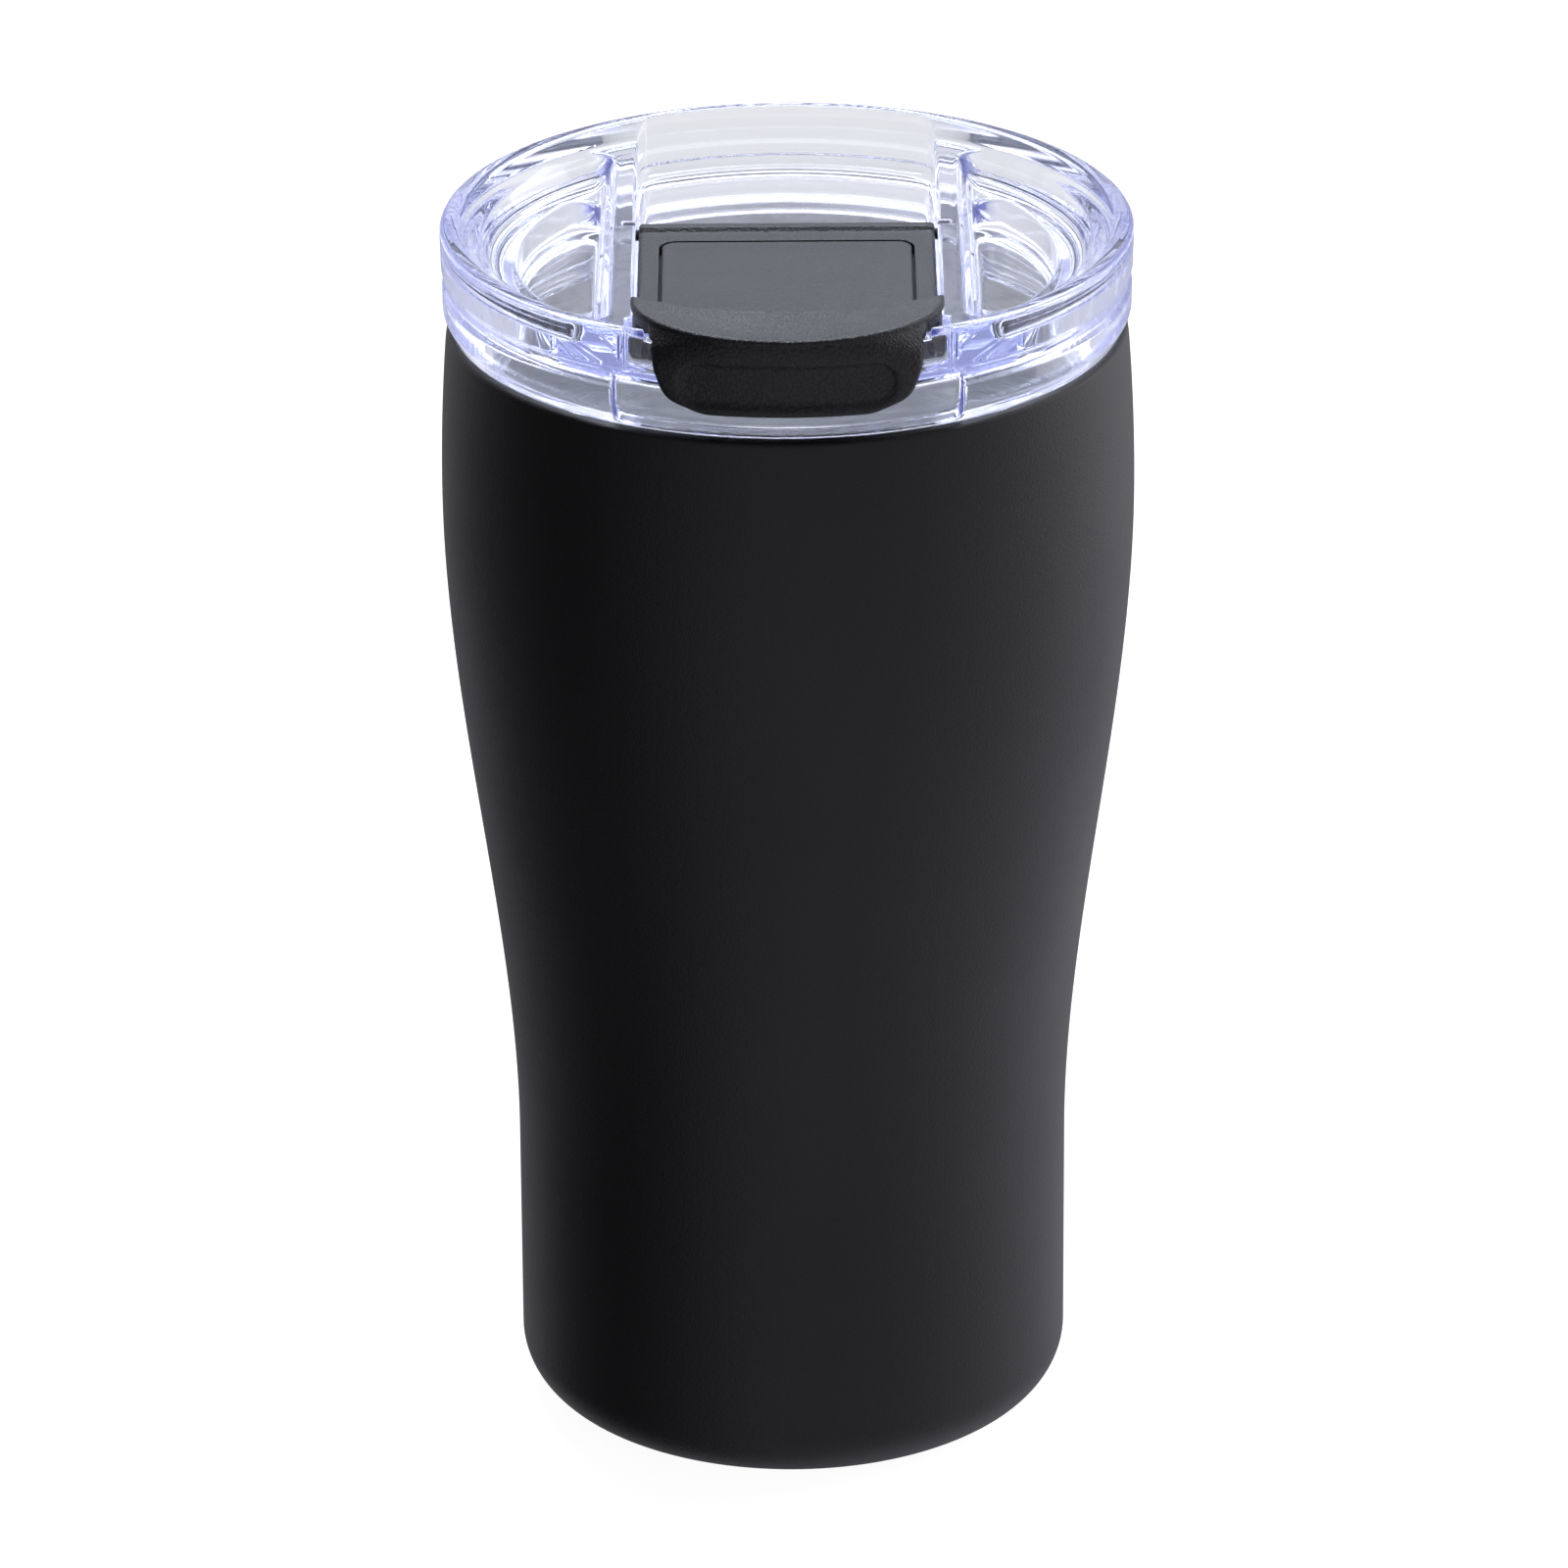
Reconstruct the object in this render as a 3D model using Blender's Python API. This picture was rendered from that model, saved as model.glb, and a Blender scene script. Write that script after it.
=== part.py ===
"""Insulated travel mug: a double-wall steel tumbler with a clear lift-off lid and a black flip flap.

Metres, +Z up. The origin is the middle of the base, on the surface the mug stands on, and the
drinking side faces -Y. Lengths below are written in millimetres and scaled once, by MM.
"""

import math

import bmesh
import bpy
from mathutils import Matrix, Vector

MM = 0.001
SEGMENTS = 48              # facets round every turned piece, so that neighbours stay parallel
SECTIONS = 18              # steps of the flap's lofts across its width
GAP = 0.35                 # clearance between neighbouring pieces

# Vessel
BASE_R = 36.0              # outer radius of the straight lower part, made for a car's cup holder
BODY_R = 44.5              # widest outer radius
LIP_R = 43.5               # outer radius where the lid's flange sits
BASE_FILLET = 7.5          # radius of the rounded bottom corner
STRAIGHT_TOP = 36.0        # height at which the body starts to widen
WIDEST_Z = 127.0           # height of the widest place
LIP_Z = 149.85             # top of the steel lip
SHEET = 0.8                # steel sheet of the shell and the liner
WALL = 3.9                 # from the shell's outside to the liner's inside
MOUTH_R = 41.0             # inner radius of the liner's mouth
LIP_ROLL = 0.6             # rounding of the steel lip
BASE_RING_Z = 20.0         # first ring of the straight lower part above its fillet
SEAT_R = 32.4              # radius at which the shell's bottom edge meets the base cap
LINER_FLOOR_Z = 8.7        # inside floor of the mug
LINER_CORNER = 8.0         # radius between that floor and the liner's wall
MOUTH_LOW, MOUTH_HIGH = 128.0, 140.0  # the liner eases out to the straight mouth between these
REST_R = 24.0              # inner radius of the ring that the mug stands on
REST_RECESS = 0.8          # depth of the hollow inside that ring
BOTTOM_Z = 3.0             # dish round the vacuum port in the middle of the structural bottom
BOTTOM_STEP = 0.8          # how much higher the rest of that bottom lies
BOTTOM_RIM_Z = 9.0         # top of its upturned rim
PORT_R = 1.0               # radius of the port
SEAL_R = 2.2               # radius of the bead that closes the port
GETTER_R, GETTER_X, GETTER_SHEET = 4.0, 20.0, 1.2

# Lid
LID_R = 44.2               # outer radius at the rim
LID_TOP = 163.2            # top of the rim
FLANGE_Z = 150.2           # underside of the flange
DECK_Z = 158.3             # floor of the two side recesses
CHANNEL_Z = 156.4          # floor of the channel that holds the flap
UNDER_Z = 154.6            # underside of the lid's floor
CHANNEL_HALF = 19.25       # half width of the channel
WALL_OUT = 22.2            # outer face of the channel's side walls
WALL_TOP = 161.3           # top of the channel's side walls
WALL_END = 36.0            # how far forward and back those walls reach into the rim
FLOOR_R = 37.2             # radius of the flat floor inside the rim
PLUG_R = 40.1              # outer radius of the plug that enters the mouth
PLUG_END = 143.5           # bottom of the plug
POCKET_X = 24.0            # straight side of each D-shaped pocket
POCKET_R = 34.4            # round side of each D-shaped pocket
POCKET_Z = 153.2           # floor of the pockets
POCKET_SHEET = 1.6         # plastic round the pockets
POCKET_CORNER = 2.6        # rounding of the pockets' tips
POCKET_LIP, POCKET_LIP_HALF = 0.9, 23.0  # width and half length of the low ridge at the straight side
RIM_INNER_R = 39.5         # inside of the rim at the height of the crest
RIM_CROWN = 0.6            # bevel of the rim's outer edge
WAIST_R, WAIST_LOW, WAIST_HIGH = 43.55, 155.4, 157.8  # line round the outside of the rim
FLANGE_R, FLANGE_OUT_Z = 43.95, 152.4    # outside of the flange, and where it starts to turn in
RECESS_R = 42.8            # outer wall where the flap's tab hangs in front of it
RECESS_HALF, RECESS_Z = 20.3, 157.4      # that recess in the rim
STEP_HALF, STEP_R, STEP_Z = 21.7, 40.4, 150.9  # the deeper recess under it, and its thin floor
GROOVE_LOW, GROOVE_HIGH = 145.8, 148.6
GROOVE_R = 38.9            # floor of the gasket's groove
GASKET_LIP = 0.35          # thickness of the gasket's two lips at their edge
VENT_Y, VENT_R = -12.0, 1.0
SLIT = 0.45                # clearance round the crest where it lies in the rim

# Flap
HINGE_Y, HINGE_Z = 5.6, 159.0
BARREL_R = 1.6             # radius of the flap's rear edge about the hinge
TRUNNION_R = 0.7           # radius of the pins at its two ends
SOCKET_R, SOCKET_END = 0.8, 21.2  # the blind holes in the lid that take them
FLAP_HALF = 18.9           # half width of the plate
PLATE_TOP, PLATE_UNDER = 160.0, 158.0
RIDGE_R = 36.0             # the crest's rear edge is an arc about the mug's axis
CREST_HALF = 19.6          # half width of the crest
CREST_MID_Y = -30.4        # middle of the ellipse that the crest's front edge follows
CREST_REACH = 14.8         # how far the ellipse reaches forward
CREST_TOP = 164.6          # height of the crest's rear edge
CREST_DROP = 0.6           # how much lower the crest's front edge is in the middle
BRIDGE_UNDER = 162.1       # underside of the flap where it passes over the rim
INBOARD_R = 38.7           # front of the flap's body inside the rim
TAB_HALF = 17.3            # half width of the tab that hangs over the rim
TAB_IN, TAB_OUT = 43.2, 45.2  # radii of its back and its face
TAB_END = 153.8            # bottom of the tab
TAB_CORNER = 5.0           # rounding of its lower corners
TAB_EDGE = 0.9             # bevel along its lower edge
SHOULDER_Z = 160.6         # where the tab's face turns down
SHOULDER_DROP = 2.6        # and how far below the crest's edge at least
THUMB_HALF, THUMB_LOW, THUMB_HIGH = 13.6, 154.9, 160.6
THUMB_DEPTH, THUMB_FLARE = 0.7, 0.4

# Panel and seal of the flap
PANEL_HALF, PANEL_REAR, PANEL_CORNER = 15.9, 0.6, 2.0
PANEL_FRONT_R = 35.6       # its front edge runs beside the crest's rear edge
PANEL_UNDER = 158.95       # underside of the panel
SPOUT_Y = -29.5            # middle of the drinking hole
SPOUT_HALF, SPOUT_DEPTH = 11.0, 4.2  # half of its length along X, and half of its width
SEAL_FLANGE = 1.6          # how far the seal's flange spreads past the drinking hole
STEM_X, STEM_R = 6.0, 1.8  # the panel's two stems, which hold the seal
STEM_LOW = 155.7           # their lower ends

OVER = 1.0                 # how far a cutter runs past the plastic
OVERLAP = 0.4              # how far two joined shapes run into each other


# ---------------------------------------------------------------- materials

def material(name, colour, roughness, metallic=0.0, transmission=0.0, ior=1.5):
    made = bpy.data.materials.new(name)
    made.use_nodes = True
    shader = made.node_tree.nodes["Principled BSDF"]
    shader.inputs["Base Color"].default_value = (*colour, 1.0)
    shader.inputs["Roughness"].default_value = roughness
    shader.inputs["Metallic"].default_value = metallic
    shader.inputs["Transmission Weight"].default_value = transmission
    shader.inputs["IOR"].default_value = ior
    made.diffuse_color = (*colour, 1.0)
    return made


# ---------------------------------------------------------------- mesh helpers

def add_object(name, bm, finish=None):
    """Turns a bmesh in millimetres into a named object in metres, faces pointing out."""
    bmesh.ops.remove_doubles(bm, verts=bm.verts, dist=1e-5)
    bmesh.ops.recalc_face_normals(bm, faces=bm.faces)
    if bm.calc_volume(signed=True) < 0:
        bmesh.ops.reverse_faces(bm, faces=bm.faces)
    bmesh.ops.scale(bm, vec=(MM, MM, MM), verts=bm.verts)
    mesh = bpy.data.meshes.new(name)
    bm.to_mesh(mesh)
    bm.free()
    mesh.shade_smooth()
    mesh.set_sharp_from_angle(angle=math.radians(35))
    made = bpy.data.objects.new(name, mesh)
    bpy.context.collection.objects.link(made)
    if finish:
        mesh.materials.append(finish)
    return made


def turned(name, profile, finish=None, segments=SEGMENTS):
    """Turns a profile of (radius, z) about Z: a closed loop, or a chain from axis to axis."""
    bm = bmesh.new()
    points = [bm.verts.new((radius, 0.0, z)) for radius, z in profile]
    for first, second in zip(points, points[1:]):
        bm.edges.new((first, second))
    if profile[0][0] > 0.0 or profile[-1][0] > 0.0:
        bm.edges.new((points[-1], points[0]))
    bmesh.ops.spin(bm, geom=bm.verts[:] + bm.edges[:], axis=(0, 0, 1), cent=(0, 0, 0),
                   steps=segments, angle=math.tau, use_merge=True)
    return add_object(name, bm, finish)


def prism(name, outline, low, high, finish=None):
    """Extrudes an outline of (x, y) from one height to another."""
    bm = bmesh.new()
    base = bm.faces.new([bm.verts.new((x, y, low)) for x, y in outline])
    grown = bmesh.ops.extrude_face_region(bm, geom=[base])
    top = [item for item in grown["geom"] if isinstance(item, bmesh.types.BMVert)]
    bmesh.ops.translate(bm, verts=top, vec=(0, 0, high - low))
    return add_object(name, bm, finish)


def loft(name, loops, finish=None):
    """Skins matching loops of (x, y, z), one after the other, and caps both ends."""
    bm = bmesh.new()
    rows = [[bm.verts.new(point) for point in loop] for loop in loops]
    for row, following in zip(rows, rows[1:]):
        for i in range(len(row)):
            j = (i + 1) % len(row)
            bm.faces.new((row[i], row[j], following[j], following[i]))
    bm.faces.new(rows[0])
    bm.faces.new(rows[-1])
    return add_object(name, bm, finish)


def rod(name, radius, start, end, finish=None, sides=20):
    """A round bar between two points."""
    start, end = Vector(start), Vector(end)
    turn = Vector((0, 0, 1)).rotation_difference(end - start).to_matrix().to_4x4()
    bm = bmesh.new()
    bmesh.ops.create_cone(bm, cap_ends=True, segments=sides, radius1=radius, radius2=radius,
                          depth=(end - start).length,
                          matrix=Matrix.Translation((start + end) / 2) @ turn)
    return add_object(name, bm, finish)


def combine(target, tool, operation):
    tool.hide_render = True
    tool.display_type = "WIRE"
    step = target.modifiers.new(operation.lower(), "BOOLEAN")
    step.operation = operation
    step.object = tool
    step.solver = "EXACT"


def cut(target, *tools):
    for tool in tools:
        combine(target, tool, "DIFFERENCE")


def join(target, *tools):
    for tool in tools:
        combine(target, tool, "UNION")


# ---------------------------------------------------------------- curves

def arc(middle_x, middle_y, radius, start, end, steps):
    """Points on a circle, from one angle to another, in degrees."""
    angles = [math.radians(start + (end - start) * i / steps) for i in range(steps + 1)]
    return [(middle_x + radius * math.cos(a), middle_y + radius * math.sin(a)) for a in angles]


def smooth(t):
    """An ease from 0 to 1 with level ends."""
    t = min(max(t, 0.0), 1.0)
    return t * t * (3.0 - 2.0 * t)


def spaced(low, high, count):
    """Heights at equal steps, both ends included."""
    return [low + (high - low) * i / (count - 1) for i in range(count)]


def body_radius(z):
    """Outer radius of the vessel: straight for the cup holder, then a long swell to the shoulder."""
    if z <= WIDEST_Z:
        return BASE_R + (BODY_R - BASE_R) * smooth((z - STRAIGHT_TOP) / (WIDEST_Z - STRAIGHT_TOP))
    fall = (z - WIDEST_Z) / (LIP_Z - WIDEST_Z)
    return BODY_R - (BODY_R - LIP_R) * fall * fall


def chord(radius, x):
    """How far from the X axis a circle about the mug's axis lies at this x."""
    return math.sqrt(radius * radius - x * x)


def stadium(middle_y, half_length, half_width, steps=8):
    """A slot outline along X with round ends."""
    side = half_length - half_width
    return arc(side, middle_y, half_width, -90, 90, steps) + arc(-side, middle_y, half_width, 90, 270, steps)


def d_outline(side, straight_x, radius, corner):
    """The D of a side pocket: a straight edge along Y and an arc about the mug's axis."""
    inner_r = radius - corner
    middle_x = straight_x + corner
    middle_y = chord(inner_r, middle_x)
    turn = math.degrees(math.atan2(middle_y, middle_x))
    half = arc(0, 0, radius, 0, turn, 8) + arc(middle_x, middle_y, corner, turn, 180, 4)[1:]
    points = half + [(x, -y) for x, y in reversed(half)][:-1]
    return [(side * x, y) for x, y in points]


def channel_outline(half, radius):
    """The channel's floor: two straight sides, closed front and rear by arcs about the mug's axis."""
    corner = math.degrees(math.acos(half / radius))
    return arc(0, 0, radius, corner, 180 - corner, 10) + arc(0, 0, radius, 180 + corner, 360 - corner, 10)


# ---------------------------------------------------------------- vessel

def shell_profile():
    """Up the outside from the base cap to the lip, then down the inside."""
    inner_fillet = BASE_FILLET - SHEET
    middle_r, middle_z = BASE_R - BASE_FILLET, BASE_FILLET
    edge = math.degrees(math.asin((SEAT_R - middle_r) / BASE_FILLET)) - 90.0
    shoulder = spaced(WIDEST_Z, LIP_Z - 2.0 * LIP_ROLL, 4)
    heights = [BASE_RING_Z] + spaced(STRAIGHT_TOP, WIDEST_Z, 9) + shoulder[1:]
    mouth_r = MOUTH_R + SHEET + GAP
    outside = arc(middle_r, middle_z, BASE_FILLET, edge, 0, 5)
    outside += [(body_radius(z), z) for z in heights]
    outside += [(LIP_R - LIP_ROLL / 4, LIP_Z - LIP_ROLL), (LIP_R - LIP_ROLL, LIP_Z), (mouth_r, LIP_Z)]
    inside = [(mouth_r, LIP_Z - 2.0 * LIP_ROLL)]
    inside += [(body_radius(z) - SHEET, z) for z in reversed(heights[:-1])]
    inside += arc(middle_r, middle_z, inner_fillet, 0, edge, 5)
    return outside + inside


def liner_radius(z):
    """Inner radius of the liner: the shell's line moved in by the wall, with a straight mouth."""
    mouth = smooth((z - MOUTH_LOW) / (MOUTH_HIGH - MOUTH_LOW))
    return (body_radius(z) - WALL) * (1.0 - mouth) + MOUTH_R * mouth


def liner_profile():
    """Down the outside from the axis to the lip and back along the inside."""
    corner_z = LINER_FLOOR_Z + LINER_CORNER
    corner_r = liner_radius(corner_z) - LINER_CORNER
    roll = SHEET / 2
    heights = spaced(STRAIGHT_TOP, MOUTH_LOW, 7) + spaced(MOUTH_LOW, MOUTH_HIGH, 3)[1:]
    inside = [(0.0, LINER_FLOOR_Z)]
    inside += arc(corner_r, corner_z, LINER_CORNER, -90, 0, 4)
    inside += [(liner_radius(z), z) for z in heights] + [(MOUTH_R, LIP_Z - roll), (MOUTH_R + roll, LIP_Z)]
    outside = [(MOUTH_R + SHEET, LIP_Z)]
    outside += [(liner_radius(z) + SHEET, z) for z in reversed(heights)]
    outside += arc(corner_r, corner_z, LINER_CORNER + SHEET, 0, -90, 4)
    outside += [(0.0, LINER_FLOOR_Z - SHEET)]
    return inside + outside


def base_cap_profile():
    """The pressed outer disc that the mug stands on: a rest ring round a shallow recess."""
    middle_r = BASE_R - BASE_FILLET
    rim = SEAT_R - GAP
    edge = math.degrees(math.asin((rim - middle_r) / BASE_FILLET)) - 90.0
    under = [(0.0, REST_RECESS), (REST_R - 1.0, REST_RECESS), (REST_R, 0.0)]
    under += arc(middle_r, BASE_FILLET, BASE_FILLET, -90, edge, 3)
    above = [(rim - 0.75 * SHEET, 2.2 * SHEET), (REST_R, 1.5 * SHEET), (0.0, REST_RECESS + SHEET)]
    return under + above


def mid_bottom_profile():
    """The structural bottom welded inside the shell, with the port that the vacuum is drawn through."""
    rim = BASE_R - SHEET - GAP
    floor = BOTTOM_Z + BOTTOM_STEP
    dish_r, bend_r = PORT_R + 2.2, rim - 3.0 * SHEET
    bend_z = BOTTOM_RIM_Z - 2.0 * SHEET
    lower = [(PORT_R, BOTTOM_Z), (dish_r, BOTTOM_Z), (dish_r + BOTTOM_STEP, floor), (bend_r, floor),
             (rim, bend_z), (rim, BOTTOM_RIM_Z)]
    upper = [(rim - SHEET, BOTTOM_RIM_Z), (rim - SHEET, bend_z + SHEET / 2),
             (bend_r - SHEET / 2, floor + SHEET), (dish_r + BOTTOM_STEP - 0.2, floor + SHEET),
             (dish_r - 0.2, BOTTOM_Z + SHEET), (PORT_R, BOTTOM_Z + SHEET)]
    return lower + upper


def port_seal_profile():
    """The bead that closes the port from below."""
    top = BOTTOM_Z - GAP
    return [(0.0, top - 0.7), (SEAL_R - 0.6, top - 0.6), (SEAL_R, top), (0.0, top)]


def gasket_profile():
    """The lid's silicone ring, with two thin lips that would press on the mouth."""
    low, high = GROOVE_LOW + GAP, GROOVE_HIGH - GAP
    root, waist, lips = GROOVE_R + GAP, PLUG_R - 0.1, MOUTH_R - GAP
    near, far = GASKET_LIP, GASKET_LIP + 0.25
    middle = (low + high) / 2
    return [(root, low), (waist, low), (lips, low + near), (lips, low + far), (waist, middle),
            (lips, high - far), (lips, high - near), (waist, high), (root, high)]


def build_vessel():
    powder = material("black_powder_coat", (0.012, 0.012, 0.013), 0.55, 0.2)
    steel = material("brushed_steel", (0.62, 0.61, 0.60), 0.32, 1.0)
    cap_steel = material("base_cap_coat", (0.012, 0.012, 0.013), 0.5, 0.2)
    mid_steel = material("bottom_steel", (0.55, 0.55, 0.55), 0.4, 1.0)
    getter_metal = material("getter_metal", (0.28, 0.27, 0.27), 0.7, 0.8)
    solder = material("solder_glass", (0.16, 0.17, 0.19), 0.3)
    turned("outer_shell", shell_profile(), powder)
    turned("inner_liner", liner_profile(), steel)
    turned("base_cap", base_cap_profile(), cap_steel)
    turned("mid_bottom", mid_bottom_profile(), mid_steel)
    getter_low = BOTTOM_Z + BOTTOM_STEP + SHEET + GAP
    rod("vacuum_getter", GETTER_R, (GETTER_X, 0.0, getter_low), (GETTER_X, 0.0, getter_low + GETTER_SHEET),
        getter_metal, 24)
    turned("port_seal", port_seal_profile(), solder, 24)


# ---------------------------------------------------------------- lid

def lid_profile():
    """The clear lid turned about its axis: floor, rim, flange, plug and gasket groove."""
    slope_low, slope_high = RIM_INNER_R - 0.5, RIM_INNER_R + 0.8
    crown = [(FLOOR_R - 0.6, DECK_Z), (slope_low - 0.6, DECK_Z + 0.4), (slope_low, DECK_Z + 1.4),
             (RIM_INNER_R, LID_TOP - 1.2), (slope_high, LID_TOP - 0.5), (LID_R - 2.2, LID_TOP),
             (LID_R - RIM_CROWN, LID_TOP), (LID_R, LID_TOP - RIM_CROWN)]
    outer_wall = [(LID_R - 0.15, WAIST_HIGH), (WAIST_R, WAIST_HIGH - 0.5), (WAIST_R, WAIST_LOW + 0.5),
                  (FLANGE_R, WAIST_LOW), (FLANGE_R, FLANGE_OUT_Z), (FLANGE_R - 0.35, FLANGE_Z + 0.8),
                  (FLANGE_R - 1.05, FLANGE_Z)]
    plug_in = FLOOR_R - 0.2
    plug = [(PLUG_R, FLANGE_Z), (PLUG_R, GROOVE_HIGH), (GROOVE_R, GROOVE_HIGH), (GROOVE_R, GROOVE_LOW),
            (PLUG_R - 0.1, GROOVE_LOW), (PLUG_R - 0.3, PLUG_END + 0.5), (PLUG_R - 0.8, PLUG_END),
            (plug_in + 0.4, PLUG_END), (plug_in, UNDER_Z - 1.0), (plug_in - 1.0, UNDER_Z)]
    return [(0.0, DECK_Z)] + crown + outer_wall + plug + [(0.0, UNDER_Z)]


def side_pieces(lid, side):
    """One side of the lid: the channel's wall, the tub of the D-shaped pocket, and the hinge socket."""
    label = "right" if side > 0 else "left"
    inner_x, outer_x = side * (CHANNEL_HALF - 0.8), side * WALL_OUT
    wall = [(inner_x, -WALL_END), (outer_x, -WALL_END + 1.6), (outer_x, WALL_END - 1.6), (inner_x, WALL_END)]
    tub = d_outline(side, POCKET_X - POCKET_SHEET, POCKET_R + POCKET_SHEET, POCKET_CORNER + 1.4)
    pocket = d_outline(side, POCKET_X, POCKET_R, POCKET_CORNER)
    lip_in, lip_out = side * (POCKET_X - POCKET_LIP), side * POCKET_X
    ridge = [(lip_in, -POCKET_LIP_HALF), (lip_out, -POCKET_LIP_HALF), (lip_out, POCKET_LIP_HALF),
             (lip_in, POCKET_LIP_HALF)]
    join(lid,
         prism("wall_" + label, wall, UNDER_Z + 0.9, WALL_TOP),
         prism("tub_" + label, tub, POCKET_Z - POCKET_SHEET, UNDER_Z + 0.7),
         prism("ridge_" + label, ridge, DECK_Z - 0.5, DECK_Z + 0.6))
    cut(lid, prism("pocket_" + label, pocket, POCKET_Z, LID_TOP + OVER))


def crest_front(x, half, reach):
    """The y of the crest's curved front edge at this x."""
    return CREST_MID_Y - reach * math.sqrt(max(0.0, 1.0 - (x / half) ** 2))


def notch_outline():
    """Plan of the seat in the front rim that the crest and the tab's bridge lie in."""
    half, reach, neck = CREST_HALF + SLIT, CREST_REACH + GAP + SLIT, TAB_HALF + SLIT
    xs = [half - (half - neck) * i / 4 for i in range(5)]
    right = [(x, crest_front(x, half, reach)) for x in xs]
    left = [(-x, y) for x, y in reversed(right)]
    rear_y, front_y = -chord(RIDGE_R - SLIT, half), -(LID_R + 4.0 * OVER)
    return [(half, rear_y)] + right + [(neck, front_y), (-neck, front_y)] + left + [(-half, rear_y)]


def inboard_outline(grow):
    """Plan of the flap's body just inside the rim, between the crest's rear arc and the rim."""
    half = CREST_HALF + grow
    rear_r, front_r = RIDGE_R - grow, INBOARD_R + grow
    xs = [-half * math.cos(math.pi * i / 14) for i in range(15)]
    front = [(x, max(-chord(front_r, x), crest_front(x, half, CREST_REACH + grow) - 0.15)) for x in xs]
    rear = [(x, -chord(rear_r, x)) for x in reversed(xs)]
    return front + rear


def tab_recess(lid):
    """The outer wall stepped in at the front, where the flap's tab hangs, and deeper below."""
    front_y = -(LID_R + 4.0 * OVER)
    steps = ((RECESS_HALF, RECESS_R, RECESS_Z, LID_TOP + OVER), (STEP_HALF, STEP_R, STEP_Z, RECESS_Z + 0.1))
    for i, (half, radius, low, high) in enumerate(steps):
        corner = math.degrees(math.asin(half / radius))
        inner = arc(0, 0, radius, 270 + corner, 270 - corner, 12)
        outline = inner + [(-half - 0.2, front_y), (half + 0.2, front_y)]
        cut(lid, prism(f"tab_recess_{i}", outline, low, high))


def build_lid():
    clear = material("clear_copolyester", (0.93, 0.94, 1.0), 0.03, 0.0, 1.0, 1.54)
    silicone = material("clear_silicone", (0.82, 0.83, 0.86), 0.45, 0.0, 0.3, 1.41)
    lid = turned("lid_body", lid_profile(), clear)
    for side in (-1, 1):
        side_pieces(lid, side)
    cut(lid, prism("channel", channel_outline(CHANNEL_HALF, FLOOR_R), CHANNEL_Z, LID_TOP + OVER))
    cut(lid, prism("crest_pocket", inboard_outline(SLIT), PLATE_UNDER - GAP, LID_TOP + OVER))
    cut(lid, prism("crest_notch", notch_outline(), BRIDGE_UNDER - GAP, LID_TOP + OVER))
    tab_recess(lid)
    low, high = UNDER_Z - OVER, CHANNEL_Z + OVER
    cut(lid, prism("spout_hole", stadium(SPOUT_Y, SPOUT_HALF, SPOUT_DEPTH), low, high))
    cut(lid, rod("vent_hole", VENT_R, (0, VENT_Y, low), (0, VENT_Y, high), None, 12))
    cut(lid, rod("hinge_sockets", SOCKET_R, (-SOCKET_END, HINGE_Y, HINGE_Z), (SOCKET_END, HINGE_Y, HINGE_Z)))
    turned("lid_gasket", gasket_profile(), silicone)


# ---------------------------------------------------------------- flap

def crest_loops():
    """Sections across the crest and the body under it: level along the rear arc, lower in front."""
    loops = []
    for i in range(SECTIONS + 1):
        x = -CREST_HALF * math.cos(math.pi * i / SECTIONS)
        fullness = math.sqrt(max(0.0, 1.0 - (x / CREST_HALF) ** 2))
        rear, front = -chord(RIDGE_R, x), crest_front(x, CREST_HALF, CREST_REACH) - 0.15
        inboard = max(-chord(INBOARD_R, x), front + 0.05)
        loops.append([(x, rear, PLATE_UNDER + 0.1), (x, rear, CREST_TOP),
                      (x, front, CREST_TOP - CREST_DROP * fullness), (x, front, BRIDGE_UNDER),
                      (x, inboard, BRIDGE_UNDER), (x, inboard, PLATE_UNDER + 0.1)])
    return loops


def tab_loops():
    """Sections across the tab: over the rim, out to the shoulder, down the face and up the back."""
    under = BRIDGE_UNDER + 0.1
    loops = []
    for i in range(SECTIONS + 1):
        x = -TAB_HALF + 2 * TAB_HALF * i / SECTIONS
        past = max(0.0, abs(x) - (TAB_HALF - TAB_CORNER))
        low = TAB_END + TAB_CORNER - math.sqrt(TAB_CORNER ** 2 - past ** 2)
        edge = crest_front(x, CREST_HALF, CREST_REACH)
        top = CREST_TOP - CREST_DROP * math.sqrt(1.0 - (x / CREST_HALF) ** 2) - 0.3
        out, back, inboard = -chord(TAB_OUT, x), -chord(TAB_IN, x), -chord(INBOARD_R - 0.4, x)
        shoulder = (x, min(out + 0.15, edge - 0.1), max(SHOULDER_Z, top - SHOULDER_DROP))
        loops.append([(x, inboard, top - 0.4), (x, edge, top), shoulder, (x, out, low + TAB_EDGE),
                      (x, out + 0.5, low), (x, back, low), (x, back, under), (x, inboard, under)])
    return loops


def plate_loops():
    """The flat plate and its hinge barrel, with a hollow between them, drawn as one section along X."""
    front = -chord(RIDGE_R + 0.5, FLAP_HALF)
    section = [(front, PLATE_UNDER), (front, PLATE_TOP), (HINGE_Y - 2.0 * BARREL_R, PLATE_TOP),
               (HINGE_Y - 2.0, PLATE_TOP + 0.12), (HINGE_Y - 1.1, PLATE_TOP + 0.38)]
    section += arc(HINGE_Y, HINGE_Z, BARREL_R, 105, -120, 14)
    section.append((HINGE_Y - 1.9, PLATE_UNDER))
    return [[(x, y, z) for y, z in section] for x in (-FLAP_HALF, FLAP_HALF)]


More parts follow.
